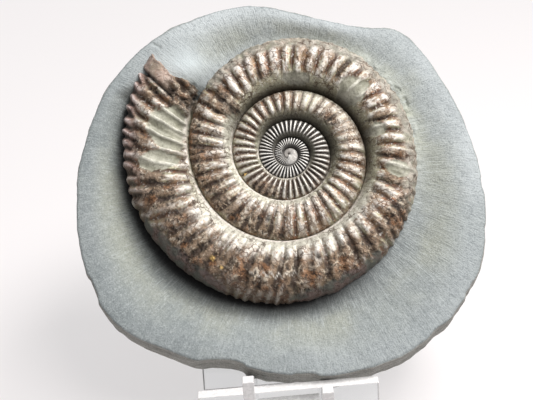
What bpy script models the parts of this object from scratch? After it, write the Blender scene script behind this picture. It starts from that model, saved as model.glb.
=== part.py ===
# Ribbed ammonite standing proud of its shale slab, on a cut acrylic stand.
# Slab frame: u to the right, v up the slab's face, w out of the face, all in millimetres,
# with its origin on the ammonite's axis in the plane of the slab's rim.

import math

import bmesh
import bpy
from mathutils import Vector

# Driving dimensions, in millimetres and degrees
MILLIMETRE = 0.001
SLAB_LEAN = 50.0              # the slab's face above the table
AXIS_HEIGHT = 75.0            # the ammonite's axis, at the rim plane, above the table
SLAB_DEPTH = 24.0
FIT_GAP = 0.3                 # between pieces that touch

# The slab's front edge, every 20 degrees counter-clockwise from +u
SLAB_RADII = [49.9, 47.2, 46.4, 40.2, 39.7, 43.9, 46.9, 51.2, 54.6,
              58.0, 62.8, 66.6, 62.6, 61.3, 62.9, 63.6, 61.4, 55.2]
MOAT_DEPTH = 5.0              # the hollow around the shell, on average
MOAT_TILT = 2.0               # how much deeper it is on its deep side
MOAT_DEEP_SIDE = 215.0        # direction of that side

# The whorl's outer radius every quarter turn inwards, from a quarter turn past the left
WHORL_RADII = [51.6, 46.0, 41.6, 35.6, 33.7, 27.6, 24.8, 21.2, 18.2, 15.6, 13.3,
               11.4, 9.7, 8.3, 7.0, 5.7, 4.7, 4.0, 3.3, 2.4, 1.5]
APERTURE_TURN = -0.118        # where the shell ends, in turns inward from the left
CORE_TURN = 4.6               # where it starts
RIBS_PER_TURN = 48
MID_PLANE = -5.5              # the coil's plane of symmetry
SHELL_BACK = -11.0            # flat underside, bedded in the slab
WHORL_FATNESS = 0.205         # half thickness over outer radius
RIB_HEIGHT = 0.022            # over outer radius
RIB_STEP_OUT = 0.35           # how far a rib stands out at the outer edge
SEAM_HEIGHT = 0.30            # where the next whorl covers this one
SHELL_ROOM = 0.9              # from the shell's mean outline to the slab

# The stand is cut from clear sheet
SHEET = 3.0
STAND_CENTRE = -6.0           # along u, from the ammonite's axis
SIDE_SPACING = 20.5
CROSS_WIDTH = 48.0
FRONT_Y = -44.6               # front edge of the side plates
LIP_FRONT_Y = -41.4
LIP_TOP = 24.9
LIP_FOOT = 6.0
LAP_HEIGHT = 15.0             # where the lip and the side plates slot together
SIDE_SLOT = SHEET + 2 * FIT_GAP
REAR_Y = 44.0
BACK_REST_TOP = -4.0          # along v
BACK_PLATE_V = (-62.4, -14.0)
ARM_LEVEL = {"left": -60.5, "right": -63.4}      # along v, under the slab's edge
TIP_HEIGHT = {"left": 31.0, "right": 25.5}
SPACER_Y = (-36.6, -33.6)
SPACER_Z = (3.0, 17.8)


def slab_to_table(u, v, w):
    lean = math.radians(SLAB_LEAN)
    y = v * math.cos(lean) - w * math.sin(lean)
    z = AXIS_HEIGHT + v * math.sin(lean) + w * math.cos(lean)
    return Vector((u, y, z))


def smooth_step(x):
    x = min(max(x, 0.0), 1.0)
    return x * x * (3.0 - 2.0 * x)


def spline_value(values, position, closed=False):
    """Catmull-Rom value of an evenly spaced list."""
    count = len(values)
    base = math.floor(position)
    if not closed:
        base = min(max(base, 1), count - 3)
    part = position - base
    a, b, c, d = (values[(base + k) % count] for k in (-1, 0, 1, 2))
    return b + 0.5 * part * (c - a + part * (2 * a - 5 * b + 4 * c - d + part * (3 * (b - c) + d - a)))


def slab_radius(angle):
    return spline_value(SLAB_RADII, (angle % 360.0) / 20.0, closed=True)


def whorl_radius(turn):
    logs = [math.log(radius) for radius in WHORL_RADII]
    return math.exp(spline_value(logs, (turn + 0.25) * 4.0))


def around(angle, radius):
    turn = math.radians(angle)
    return radius * math.cos(turn), radius * math.sin(turn)


def turn_angle(turn):
    return 180.0 + 360.0 * turn


def finish_mesh(name, mesh, color, roughness, metallic, alpha=1.0, smooth=False):
    bmesh.ops.recalc_face_normals(mesh, faces=mesh.faces)
    bmesh.ops.triangulate(mesh, faces=[face for face in mesh.faces if len(face.verts) > 3])
    bmesh.ops.scale(mesh, vec=(MILLIMETRE,) * 3, verts=mesh.verts)
    data = bpy.data.meshes.new(name)
    mesh.to_mesh(data)
    mesh.free()
    if smooth:
        data.shade_smooth()
        data.set_sharp_from_angle(angle=math.radians(50.0))
    material = bpy.data.materials.new(name)
    material.use_nodes = True
    shader = material.node_tree.nodes["Principled BSDF"]
    shader.inputs["Base Color"].default_value = (*color, 1.0)
    shader.inputs["Roughness"].default_value = roughness
    shader.inputs["Metallic"].default_value = metallic
    shader.inputs["Alpha"].default_value = alpha
    data.materials.append(material)
    piece = bpy.data.objects.new(name, data)
    bpy.context.scene.collection.objects.link(piece)
    return piece


def bridge(mesh, lower, upper):
    count = len(lower)
    for k in range(count):
        n = (k + 1) % count
        mesh.faces.new((lower[k], lower[n], upper[n], upper[k]))


def prism(name, outline, placed, thickness_from, thickness_to, **finish):
    """A flat outline given thickness; placed(a, b, t) puts a point of it on the table."""
    mesh = bmesh.new()
    near = [mesh.verts.new(placed(a, b, thickness_from)) for a, b in outline]
    far = [mesh.verts.new(placed(a, b, thickness_to)) for a, b in outline]
    mesh.faces.new(near)
    mesh.faces.new(far)
    bridge(mesh, near, far)
    return finish_mesh(name, mesh, **finish)


def section(turn, rib, last_lap):
    """Radius share and height of the whorl across one section, seam to outer edge."""
    radius = whorl_radius(turn)
    half = WHORL_FATNESS * radius
    seam = SEAM_HEIGHT * whorl_radius(turn + 1.0) / radius if turn + 1.0 < CORE_TURN else 0.5
    cover = smooth_step((turn - APERTURE_TURN - 0.875) * 8.0)
    edge = SEAM_HEIGHT * (cover if last_lap else 1.0)
    shares = (0.0, 0.12, 0.36, 0.62, 0.86, 1.0)
    heights = (seam, 0.74, 1.0, 0.96, 0.70, edge)
    swells = (0.0, 0.8, 1.0, 1.0, 1.0, 0.0)
    lift = 0.5 * RIB_HEIGHT * radius * rib
    return [(share, MID_PLANE + half * height + lift * swell)
            for share, height, swell in zip(shares, heights, swells)]


def make_ammonite():
    mesh = bmesh.new()
    lap = 2 * RIBS_PER_TURN                      # one column on each crest and each groove
    count = int((CORE_TURN - APERTURE_TURN) * lap) + 1
    columns = [None] * count
    centre = mesh.verts.new(slab_to_table(0.0, 0.0, MID_PLANE + 0.8))
    for k in reversed(range(count)):
        turn = APERTURE_TURN + k / lap
        rib = 1.0 if k % 2 == 0 else -1.0
        outer = whorl_radius(turn)
        profile = section(turn, rib, k < lap)
        is_core = k + lap >= count
        inner = 0.0 if is_core else whorl_radius(turn + 1.0)
        first = centre if is_core else columns[k + lap][-1]
        column = [first]
        for share, height in (profile[-1:] if is_core else profile[1:]):
            radius = inner + share * (outer - inner)
            if k < lap and share == 1.0:
                radius += RIB_STEP_OUT * rib
            u, v = around(turn_angle(turn), radius)
            column.append(mesh.verts.new(slab_to_table(u, v, height)))
        columns[k] = column
    for k in range(count - 1):
        here, there = columns[k], columns[k + 1]
        if len(here) == len(there):
            for s in range(len(here) - 1):
                ring = (here[s], here[s + 1], there[s + 1], there[s])
                corners = list(dict.fromkeys(ring))
                mesh.faces.new(corners)
        else:                                    # the first whorl opens out of the core
            mesh.faces.new((centre, there[-1], here[-1]))
            for s in range(len(here) - 1):
                mesh.faces.new((centre, here[s + 1], here[s]))
    rim = [columns[k][-1] for k in range(lap)] + columns[0][:-1]
    foot = []
    for vertex in rim:
        drop = (vertex.co - slab_to_table(0.0, 0.0, SHELL_BACK)).dot(face_normal())
        foot.append(mesh.verts.new(vertex.co - face_normal() * drop))
    bridge(mesh, rim, foot)
    mesh.faces.new(foot)
    return finish_mesh("ammonite_shell", mesh, color=(0.30, 0.25, 0.19), roughness=0.35,
                       metallic=0.6)


def face_normal():
    return slab_to_table(0.0, 0.0, 1.0) - slab_to_table(0.0, 0.0, 0.0)


def pocket_stations():
    """The hollow's edge around the shell: angle and radius, with room for the ribs."""
    steps = 80
    clear = math.degrees(0.6 / whorl_radius(APERTURE_TURN + 0.5))
    stations = []
    for k in range(steps + 1):
        turn = APERTURE_TURN + k / steps
        radius = whorl_radius(turn) + SHELL_ROOM
        stations.append((turn_angle(turn) - (clear if k == 0 else 0.0), radius))
    stations[-1] = (stations[-1][0] - clear, stations[-1][1])
    inner, outer = stations[-1][1], stations[0][1]
    for share in (0.2, 0.4, 0.6, 0.8):
        stations.append((stations[-1][0], inner + share * (outer - inner)))
    return stations


def make_slab():
    mesh = bmesh.new()
    stations = pocket_stations()

    def ring(place):
        return [mesh.verts.new(slab_to_table(*place(angle, radius))) for angle, radius in stations]

    def wall(grow, depth):
        def place(angle, radius):
            low_side = smooth_step(0.5 - math.sin(math.radians(angle)))
            u, v = around(angle, slab_radius(angle) + grow * (0.3 + 0.7 * low_side))
            return u, v, -depth
        return place

    def face(share):
        def place(angle, radius):
            depth = MOAT_DEPTH + MOAT_TILT * math.cos(math.radians(angle - MOAT_DEEP_SIDE))
            outer = slab_radius(angle) - 1.0
            u, v = around(angle, radius + share * (outer - radius))
            return u, v, -depth * (1.0 - smooth_step(share * 1.15))
        return place

    def floor(angle, radius):
        u, v = around(angle, radius)
        return u, v, SHELL_BACK - FIT_GAP

    rings = [ring(wall(-2.0, SLAB_DEPTH)), ring(wall(0.6, SLAB_DEPTH - 2.0)),
             ring(wall(0.8, 8.0)), ring(wall(0.0, 1.0))]
    rings += [ring(face(share)) for share in (1.0, 0.75, 0.5, 0.25, 0.0)]
    rings.append(ring(floor))
    for lower, upper in zip(rings, rings[1:]):
        bridge(mesh, lower, upper)
    mesh.faces.new(rings[0])
    mesh.faces.new(rings[-1])
    return finish_mesh("shale_slab", mesh, color=(0.36, 0.39, 0.40), roughness=0.9,
                       metallic=0.0)


def slab_point(v, w):
    point = slab_to_table(0.0, v, w)
    return point.y, point.z


def side_outline(side):
    arm = ARM_LEVEL[side]
    tip = TIP_HEIGHT[side]
    slot_front = LIP_FRONT_Y - FIT_GAP
    slot_rear = slot_front + SIDE_SLOT
    rest = -SLAB_DEPTH - SHEET - 2 * FIT_GAP          # the back plate lies on this line
    pocket = ARM_LEVEL["right"]
    lean = math.radians(SLAB_LEAN)
    arm_w = (arm * math.cos(lean) - slot_rear) / math.sin(lean)
    outline = [(FRONT_Y, 0.0), (FRONT_Y, tip), (slot_front, tip), (slot_front, LAP_HEIGHT),
               (slot_rear, LAP_HEIGHT), slab_point(arm, arm_w)]
    if arm > pocket:
        outline += [slab_point(arm, -SLAB_DEPTH + 0.1), slab_point(pocket, -SLAB_DEPTH + 0.1)]
    top = slab_point(BACK_REST_TOP, rest)
    outline += [slab_point(pocket, rest), top, (top[0] + 6.0, top[1] - 2.0),
                (REAR_Y, 5.0), (REAR_Y, 0.0)]
    return outline


def make_stand():
    clear = dict(color=(0.93, 0.95, 0.96), roughness=0.05, metallic=0.0, alpha=0.4)
    half = 0.5 * SHEET
    for side, direction in (("left", -1.0), ("right", 1.0)):
        centre = STAND_CENTRE + direction * 0.5 * SIDE_SPACING
        prism("stand_side_" + side, side_outline(side), lambda a, b, t: Vector((t, a, b)),
              centre - half, centre + half, **clear)
    lip = [(-0.5 * CROSS_WIDTH, LIP_FOOT), (-0.5 * CROSS_WIDTH, LIP_TOP),
           (0.5 * CROSS_WIDTH, LIP_TOP), (0.5 * CROSS_WIDTH, LIP_FOOT)]
    for middle in (0.5 * SIDE_SPACING, -0.5 * SIDE_SPACING):
        right, left = middle + 0.5 * SIDE_SLOT, middle - 0.5 * SIDE_SLOT
        top = LAP_HEIGHT + FIT_GAP
        lip += [(right, LIP_FOOT), (right, top), (left, top), (left, LIP_FOOT)]
    prism("stand_front_lip", lip, lambda a, b, t: Vector((STAND_CENTRE + a, t, b)),
          LIP_FRONT_Y, LIP_FRONT_Y + SHEET, **clear)
    wide = 0.5 * CROSS_WIDTH
    low, high = BACK_PLATE_V
    back = [(-wide, low), (wide, low), (wide, high), (-wide, high)]
    prism("stand_back_plate", back, lambda a, b, t: slab_to_table(STAND_CENTRE + a, b, t),
          -SLAB_DEPTH - FIT_GAP - SHEET, -SLAB_DEPTH - FIT_GAP, **clear)
    reach = 0.5 * (SIDE_SPACING - SHEET) - FIT_GAP
    spacer = [(-reach, SPACER_Z[0]), (reach, SPACER_Z[0]), (reach, SPACER_Z[1]),
              (-reach, SPACER_Z[1])]
    prism("stand_spacer", spacer, lambda a, b, t: Vector((STAND_CENTRE + a, t, b)),
          *SPACER_Y, **clear)


def centre_on_origin():
    """Puts the origin under the middle of the whole, on the table."""
    pieces = list(bpy.data.objects)
    points = [vertex.co for piece in pieces for vertex in piece.data.vertices]
    low = [min(point[axis] for point in points) for axis in range(3)]
    high = [max(point[axis] for point in points) for axis in range(3)]
    shift = Vector(((low[0] + high[0]) / -2, (low[1] + high[1]) / -2, -low[2]))
    for piece in pieces:
        for vertex in piece.data.vertices:
            vertex.co += shift


def main():
    for old in list(bpy.data.objects):
        bpy.data.objects.remove(old)
    make_slab()
    make_ammonite()
    make_stand()
    centre_on_origin()


main()
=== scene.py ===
import math

import bpy
import numpy as np
from mathutils import Matrix, Vector


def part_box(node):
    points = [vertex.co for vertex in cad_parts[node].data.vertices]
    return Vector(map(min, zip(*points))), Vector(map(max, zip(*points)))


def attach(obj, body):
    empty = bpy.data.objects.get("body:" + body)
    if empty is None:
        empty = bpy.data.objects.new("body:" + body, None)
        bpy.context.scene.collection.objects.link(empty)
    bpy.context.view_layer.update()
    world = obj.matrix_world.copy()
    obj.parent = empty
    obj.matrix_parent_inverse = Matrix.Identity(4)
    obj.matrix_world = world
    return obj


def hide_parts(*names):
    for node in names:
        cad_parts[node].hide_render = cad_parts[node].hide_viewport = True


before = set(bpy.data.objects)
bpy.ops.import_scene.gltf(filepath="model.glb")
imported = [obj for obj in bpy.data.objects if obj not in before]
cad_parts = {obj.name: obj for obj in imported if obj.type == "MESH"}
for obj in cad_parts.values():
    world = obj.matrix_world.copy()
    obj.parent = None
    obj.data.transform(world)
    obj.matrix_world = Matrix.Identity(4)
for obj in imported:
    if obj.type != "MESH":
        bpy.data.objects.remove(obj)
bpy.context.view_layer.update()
print("frame loaded:", ", ".join(sorted(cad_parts)))

mm = 0.001

# Where the stone lies: u to the right, v up its face, w out of the face, in millimetres,
# with the origin on the coil's axis in the plane of the slab's rim.
stonePlace = dict(lean=50.0, axisHeight=75.0, axisFromLip=6.0, axisFromFront=44.6)
lipLow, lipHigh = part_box("stand_front_lip")
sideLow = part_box("stand_side_left")[0]
leanTurn = math.radians(stonePlace["lean"])
stoneOrigin = np.array([
    0.5 * (lipLow[0] + lipHigh[0]) + stonePlace["axisFromLip"] * mm,
    sideLow[1] + stonePlace["axisFromFront"] * mm,
    stonePlace["axisHeight"] * mm,
])
alongU = np.array([1.0, 0.0, 0.0])
alongV = np.array([0.0, math.cos(leanTurn), math.sin(leanTurn)])
alongW = np.array([0.0, -math.sin(leanTurn), math.cos(leanTurn)])


def toFrame(u, v, w):
    place = np.multiply.outer(u, alongU) + np.multiply.outer(v, alongV) + np.multiply.outer(w, alongW)
    return stoneOrigin + place * mm


def smooth(x, low=0.0, high=1.0):
    x = np.clip((np.asarray(x, float) - low) / (high - low), 0.0, 1.0)
    return x * x * (3.0 - 2.0 * x)


def splineValue(values, position, closed=False):
    values = np.asarray(values, float)
    count = len(values)
    position = np.asarray(position, float)
    base = np.floor(position).astype(int)
    if not closed:
        base = np.clip(base, 1, count - 3)
    part = position - base
    a, b, c, d = (values[(base + k) % count] for k in (-1, 0, 1, 2))
    return b + 0.5 * part * (c - a + part * (2 * a - 5 * b + 4 * c - d + part * (3 * (b - c) + d - a)))


def latticeValue(x, y, z, seed):
    n = (x.astype(np.int64) * 374761393 + y.astype(np.int64) * 668265263
         + z.astype(np.int64) * 2147483647 + seed * 1274126177)
    n = (n ^ (n >> 13)) * 1274126177 & 0xFFFFFFFF
    n = (n ^ (n >> 16)) * 668265263 & 0xFFFFFFFF
    return ((n ^ (n >> 15)) & 0xFFFFFF) / 8388607.5 - 1.0


def valueNoise(x, y, z=0.0, seed=1):
    # smooth noise from -1 to 1, one cell per unit
    x, y, z = np.broadcast_arrays(np.asarray(x, float), np.asarray(y, float), np.asarray(z, float))
    xi, yi, zi = np.floor(x), np.floor(y), np.floor(z)
    fx, fy, fz = smooth(x - xi), smooth(y - yi), smooth(z - zi)
    total = 0.0
    for i in (0, 1):
        for j in (0, 1):
            for k in (0, 1):
                weight = (fx if i else 1 - fx) * (fy if j else 1 - fy) * (fz if k else 1 - fz)
                total = total + weight * latticeValue(xi + i, yi + j, zi + k, seed)
    return total


def layeredNoise(x, y, z=0.0, seed=1, octaves=3, fall=0.5):
    total, height, scale, most = 0.0, 1.0, 1.0, 0.0
    for octave in range(octaves):
        total = total + height * valueNoise(x * scale, y * scale, np.asarray(z) * scale, seed + octave)
        most += height
        height *= fall
        scale *= 2.03
    return total / most


def makeMesh(name, points, faces, attributes, materials):
    mesh = bpy.data.meshes.new(name)
    mesh.from_pydata(points, [], faces)
    for key, values in attributes.items():
        values = np.asarray(values, np.float32)
        if values.ndim == 1:
            layer = mesh.attributes.new(key, "FLOAT", "POINT")
            layer.data.foreach_set("value", values)
        else:
            layer = mesh.attributes.new(key, "FLOAT_VECTOR", "POINT")
            layer.data.foreach_set("vector", values.ravel())
    for material in materials:
        mesh.materials.append(material)
    mesh.shade_smooth()
    mesh.update()
    piece = bpy.data.objects.new(name, mesh)
    bpy.context.scene.collection.objects.link(piece)
    return piece


def newMaterial(name):
    material = bpy.data.materials.new(name)
    material.use_nodes = True
    return material, material.node_tree, material.node_tree.nodes["Principled BSDF"]


def addNode(tree, kind, inputs=None, **settings):
    node = tree.nodes.new(kind)
    for key, value in settings.items():
        setattr(node, key, value)
    for key, value in (inputs or {}).items():
        if hasattr(value, "is_linked"):
            tree.links.new(value, node.inputs[key])
        else:
            node.inputs[key].default_value = value
    return node


def mathNode(tree, operation, a, b=0.0):
    return addNode(tree, "ShaderNodeMath", {0: a, 1: b}, operation=operation).outputs[0]


def noiseValue(tree, place, scale, detail=4.0, rough=0.6, output=0):
    inputs = {"Vector": place, "Scale": scale, "Detail": detail, "Roughness": rough}
    return addNode(tree, "ShaderNodeTexNoise", inputs).outputs[output]


def mixColor(tree, amount, a, b, blend="MIX"):
    node = tree.nodes.new("ShaderNodeMix")
    node.data_type = "RGBA"
    node.blend_type = blend
    node.clamp_factor = True
    for socket, value in ((node.inputs["Factor"], amount), (node.inputs[6], a), (node.inputs[7], b)):
        if hasattr(value, "is_linked"):
            tree.links.new(value, socket)
        elif isinstance(value, tuple):
            socket.default_value = (*value, 1.0)
        else:
            socket.default_value = value
    return node.outputs[2]


def ramp(tree, value, low, high, start=0.0, end=1.0):
    node = addNode(tree, "ShaderNodeMapRange",
                   {"Value": value, "From Min": low, "From Max": high, "To Min": start, "To Max": end},
                   interpolation_type="SMOOTHSTEP")
    return node.outputs[0]


def attribute(tree, name):
    return addNode(tree, "ShaderNodeAttribute", attribute_name=name).outputs["Fac"]


def shaderGroup(name, inputs, outputs):
    group = bpy.data.node_groups.new(name, "ShaderNodeTree")
    for label, kind, value in inputs:
        socket = group.interface.new_socket(label, in_out="INPUT", socket_type=kind)
        socket.default_value = value
    for label, kind in outputs:
        group.interface.new_socket(label, in_out="OUTPUT", socket_type=kind)
    return group, group.nodes.new("NodeGroupInput"), group.nodes.new("NodeGroupOutput")


def useGroup(tree, group, **values):
    node = tree.nodes.new("ShaderNodeGroup")
    node.node_tree = group
    for key, value in values.items():
        socket = node.inputs[key]
        if hasattr(value, "is_linked"):
            tree.links.new(value, socket)
        else:
            socket.default_value = value
    return node


def makeGrainGroup():
    # fine mineral specks: a mask of light grains, a mask of dark grains, and a height
    group, start, end = shaderGroup(
        "mineralGrain",
        [("Size", "NodeSocketFloat", 0.4), ("Contrast", "NodeSocketFloat", 1.0)],
        [("Light", "NodeSocketFloat"), ("Dark", "NodeSocketFloat"), ("Height", "NodeSocketFloat")])
    coords = addNode(group, "ShaderNodeTexCoord").outputs["Object"]
    scale = mathNode(group, "DIVIDE", 1000.0, start.outputs["Size"])
    fine = noiseValue(group, coords, scale, 2.0)
    broad = noiseValue(group, coords, mathNode(group, "MULTIPLY", scale, 0.37), 3.0, 0.65)
    both = mathNode(group, "ADD", mathNode(group, "MULTIPLY", fine, 0.65),
                    mathNode(group, "MULTIPLY", broad, 0.35))
    light = mathNode(group, "MULTIPLY", ramp(group, both, 0.50, 0.66), start.outputs["Contrast"])
    dark = mathNode(group, "MULTIPLY", ramp(group, both, 0.50, 0.36), start.outputs["Contrast"])
    group.links.new(light, end.inputs["Light"])
    group.links.new(dark, end.inputs["Dark"])
    group.links.new(both, end.inputs["Height"])
    return group


grainGroup = makeGrainGroup()


shell = dict(
    radii=[51.6, 46.0, 41.6, 35.6, 33.7, 27.6, 24.8, 21.2, 18.2, 15.6, 13.3, 11.4, 9.7,
           8.3, 7.0, 5.7, 4.7, 4.0, 3.3, 2.5, 1.8, 1.3, 0.95, 0.7, 0.5],   # every quarter turn inwards
    startTurn=-0.128, coreTurn=5.2, columnsPerTurn=672, lastWhorlEnd=0.872,
    rows=[(0.0, 46), (0.872, 30), (1.872, 22), (2.872, 16), (3.872, 12)],   # face rows from that turn on
    midPlane=-5.5, back=-11.0, fatness=0.205, seamHigh=0.50, seamLow=0.12,
    ribHeight=1.3,           # on the last whorl
    knobEvery=3.95,          # degrees between the knobs on the rim
    openSide=62.0,           # degrees; here the seam lies deepest
    ribSeed=7,
    scar=((23.0, -18.6), (32.6, -14.4)),
    pits=[(5.0, -30.8, 0.8), (-0.6, -30.6, 0.6), (-7.4, -19.0, 0.75), (-14.6, -35.2, 0.5)],
    goldSpots=[(-23.3, -28.9, 0.75), (-20.8, -31.5, 0.4), (-12.8, -5.3, 0.3)],
    undersideSteps=7, undersideTurn=40.0, undersidePull=0.17,
)
# Ribs counted along the coil: the angle in degrees where each of these ribs stands
ribs = dict(
    degrees=[100, 148, 180, 240, 317, 462.6, 493.8, 511.2, 547.2, 634.8, 688.8, 709, 729.6, 806.4,
             847.2, 909.6, 1012.8, 1094.4, 1178.4, 1212, 1248, 1274.4, 1358.4, 1447.2, 1836],
    numbers=[-8, 0, 5.3, 14.4, 25.1, 44, 48, 50, 54, 64, 70, 72, 74, 82,
             86, 93, 105, 115, 125, 129, 134, 137, 147, 156, 196],
    leanAt=[137, 180, 212, 300, 500, 860],
    lean=[12.0, 10.0, 4.5, 3.5, 1.5, 0.0],      # degrees forward at the rim
)
# The break at the mouth: angle of the edge at shares of the way out from the seam
mouthEdge = dict(shares=[0.0, 0.1, 0.3, 0.45, 0.72, 1.0], angles=[139.0, 140.0, 141.8, 143.0, 141.3, 138.6])

# Patches on the last whorl: angle, share of the way out, and half sizes of both
calciteWindows = [
    (165.0, 0.26, 11.0, 0.31), (181.5, 0.45, 4.6, 0.33), (344.5, 0.56, 4.4, 0.25), (368.0, 0.28, 4.6, 0.22),
    (399.0, 0.30, 10.0, 0.30), (441.0, 0.16, 12.0, 0.10),
]
greySkins = [(222.0, 0.97, 24.0, 0.16), (288.0, 1.00, 22.0, 0.17)]
roughBands = [
    (174.0, 0.68, 6.0, 0.17), (194.0, 0.60, 14.0, 0.30), (222.0, 0.64, 22.0, 0.30), (258.0, 0.60, 26.0, 0.28),
    (292.0, 0.66, 24.0, 0.27), (322.0, 0.76, 16.0, 0.22), (338.0, 0.50, 4.5, 0.30), (150.0, 0.18, 6.5, 0.26),
    (154.0, 0.62, 4.0, 0.12), (351.5, 0.55, 2.6, 0.30), (375.0, 0.36, 2.6, 0.22), (412.0, 0.55, 3.2, 0.25),
    (466.0, 0.34, 4.0, 0.14), (498.0, 0.45, 9.0, 0.40), (545.0, 0.80, 30.0, 0.26), (590.0, 0.72, 34.0, 0.34),
    (950.0, 0.72, 26.0, 0.34), (752.0, 0.45, 8.0, 0.2),
]


def whorlRadius(turn):
    return np.exp(splineValue(np.log(shell["radii"]), (turn + 0.25) * 4.0))


def fatness(radius):
    return shell["fatness"] * (1.0 + 0.45 * smooth(radius, 9.0, 3.0))    # half the thickness over the radius


def patchMask(degrees, share, u, v, patches, ragged, seed):
    # above 0 inside a patch, with a torn outline
    tear = ragged * layeredNoise(u * 0.30, v * 0.30, 0.0, seed=seed, octaves=5, fall=0.62)
    mask = np.full(u.shape, -3.0)
    for angle, middle, halfAngle, halfShare in patches:
        mask = np.maximum(mask, 1.0 - np.hypot((degrees - angle) / halfAngle, (share - middle) / halfShare))
    return mask + tear


def nearLine(u, v, ends):
    # distance to a short straight mark
    (au, av), (bu, bv) = ends
    lengthU, lengthV = bu - au, bv - av
    along = ((u - au) * lengthU + (v - av) * lengthV) / (lengthU ** 2 + lengthV ** 2)
    along = np.clip(along, 0.0, 1.0)
    return np.hypot(u - au - along * lengthU, v - av - along * lengthV)


def shellSurface(turn, way):
    # turn counts inwards, way runs from the seam (0) over the flank to the outer edge (1)
    outer = whorlRadius(turn)
    coreTurn = shell["coreTurn"]
    inner = np.where(turn + 1.0 < coreTurn, whorlRadius(np.minimum(turn + 1.0, coreTurn + 0.05)), 0.0)
    half = fatness(outer) * outer
    swing = math.pi * way
    across = -np.sign(np.cos(swing)) * np.abs(np.cos(swing)) ** 0.92
    share = 0.5 * (1.0 + across)
    radius = inner + share * (outer - inner)
    cover = smooth(turn, 0.79, 0.87)
    upperRight = smooth(np.cos(math.pi + 2.0 * math.pi * turn - math.radians(shell["openSide"])), -0.55, 0.65)
    seamShare = shell["seamHigh"] + (shell["seamLow"] - shell["seamHigh"]) * upperRight
    heightIn = np.where(inner > 0.0, seamShare * fatness(inner) * inner, 0.6 * half)
    base = heightIn + (seamShare * half * cover - heightIn) * way
    flatter = (0.25 + 0.45 * upperRight) * smooth(share, 0.5, 0.1) * smooth(inner, 1.0, 4.0)
    height = base + (half - base) * np.sin(swing) ** (0.8 + flatter)

    # where on the coil this is, and the noises that roughen it
    degrees = 180.0 + 360.0 * turn
    theta = np.radians(degrees)
    u, v = radius * np.cos(theta), radius * np.sin(theta)
    last = 1.0 - smooth(turn, shell["lastWhorlEnd"], shell["lastWhorlEnd"] + 0.004)      # 1 on the last whorl
    early = smooth(turn, 1.7, 2.3)                   # 1 on the small whorls
    atMouth = last * smooth(degrees, 205.0, 170.0)
    grit = layeredNoise(u * 1.5, v * 1.5, 0.0, seed=11, octaves=3, fall=0.6)
    coarse = layeredNoise(u * 0.75, v * 0.75, 0.0, seed=19, octaves=3, fall=0.6)
    lumps = layeredNoise(u * 0.32, v * 0.32, 0.0, seed=23, octaves=3)

    # ribs: broad backs with narrow grooves between, each splitting in two at the outer edge
    lean = np.interp(degrees, ribs["leanAt"], ribs["lean"])
    count = np.interp(degrees + lean * share ** 1.5, ribs["degrees"], ribs["numbers"])
    count = count + 0.07 * lumps + 0.05 * valueNoise(count * 0.9, share * 1.2, 0.0, 3)
    gap = 0.5 - np.abs(count - np.round(count))      # from the middle of the groove
    plateau = 1.0 - np.exp(-(gap / (0.17 + 0.05 * early)) ** 2)
    roundBack = 0.5 - 0.5 * np.cos(2.0 * math.pi * gap)
    ridge = (0.55 - 0.25 * early) * plateau + (0.45 + 0.25 * early) * roundBack
    knobs = (degrees + lean * share ** 1.5) / shell["knobEvery"] + 0.16 * coarse + 0.3 * lumps
    twin = last * (0.5 + 0.5 * np.cos(2.0 * math.pi * knobs))
    twin = twin + (1.0 - last) * (0.5 - 0.5 * np.cos(4.0 * math.pi * gap))
    split = smooth(share, 0.74, 0.90) * (0.35 + 0.65 * last) * (1.0 - 0.6 * early)
    ridge = ridge * (1.0 - split) + (0.25 + 0.75 * twin) * split
    number = np.round(count)
    uneven = 1.0 + 0.22 * latticeValue(number, number * 0 + 3, number * 0, shell["ribSeed"])
    worn = smooth(layeredNoise(u * 0.24, v * 0.24, 0.0, seed=83, octaves=3, fall=0.6), -0.05, 0.45)
    uneven = uneven * (1.0 - 0.55 * worn * smooth(outer, 12.0, 24.0))
    rubbed = smooth(degrees, 705.0, 735.0) * smooth(degrees, 815.0, 785.0)
    uneven = uneven * (1.0 - 0.55 * rubbed)
    tall = shell["ribHeight"] * (outer / 45.0) ** 0.74 * uneven * (1.0 + 0.25 * early)
    shoulder = smooth(degrees, 188.0, 215.0) * smooth(degrees, 345.0, 310.0)
    shoulder = shoulder + 0.7 * smooth(degrees, 490.0, 520.0) * smooth(degrees, 680.0, 640.0)
    wallShare = (0.10 + 0.20 * upperRight + 0.10 * shoulder) * (1.0 - 0.75 * atMouth)
    fade = smooth(share, wallShare * 0.45, wallShare * 1.25)
    crust = last * smooth(share, 0.66, 0.80) * smooth(degrees, 318.0, 345.0)
    crust = crust * (0.75 + 0.25 * smooth(lumps, -0.3, 0.2))
    skins = last * smooth(patchMask(degrees, share, u, v, greySkins, 0.5, 61), 0.0, 0.18)
    fade = fade * (1.0 - 0.8 * cover * smooth(share, 0.90, 1.0)) * smooth(outer, 3.1, 4.3)
    fade = fade * (1.0 - 0.72 * crust) * (1.0 - 0.6 * skins)

    # bare calcite shows where the shell has gone: sharp crests between hollow flanks
    windows = last * smooth(patchMask(degrees, share, u, v, calciteWindows, 0.42, 31), 0.0, 0.06)
    crest = np.exp(-((0.5 - gap) / 0.13) ** 2)
    ridge = ridge + 0.85 * windows * (0.22 + 0.78 * crest - ridge) * smooth(share, 0.95, 0.80)

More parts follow.
